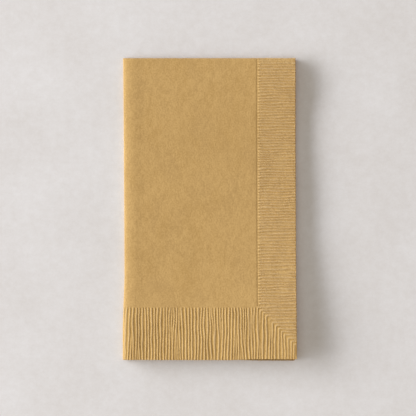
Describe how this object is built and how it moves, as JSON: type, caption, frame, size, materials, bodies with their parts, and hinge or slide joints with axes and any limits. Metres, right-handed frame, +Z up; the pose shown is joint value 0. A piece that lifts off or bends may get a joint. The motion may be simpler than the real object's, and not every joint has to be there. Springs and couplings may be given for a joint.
{
  "type": "paper guest towel",
  "caption": "Kraft-brown paper guest towel, letter-folded and then folded in half, with a coined border of fine ribs that runs round the sheet.",
  "frame": {"origin": "on the surface the folded towel lies on, under the middle of its box", "axes": "+X across the towel to the outer panel's free edge, +Y along it to the half fold, the open ribbed end at -Y, +Z up"},
  "size_m": [0.1142, 0.2, 0.0047],
  "materials": {
    "tissue": "matte"
  },
  "bodies": {
    "root": {"guest_towel": "tissue"}
  },
  "joints": []
}
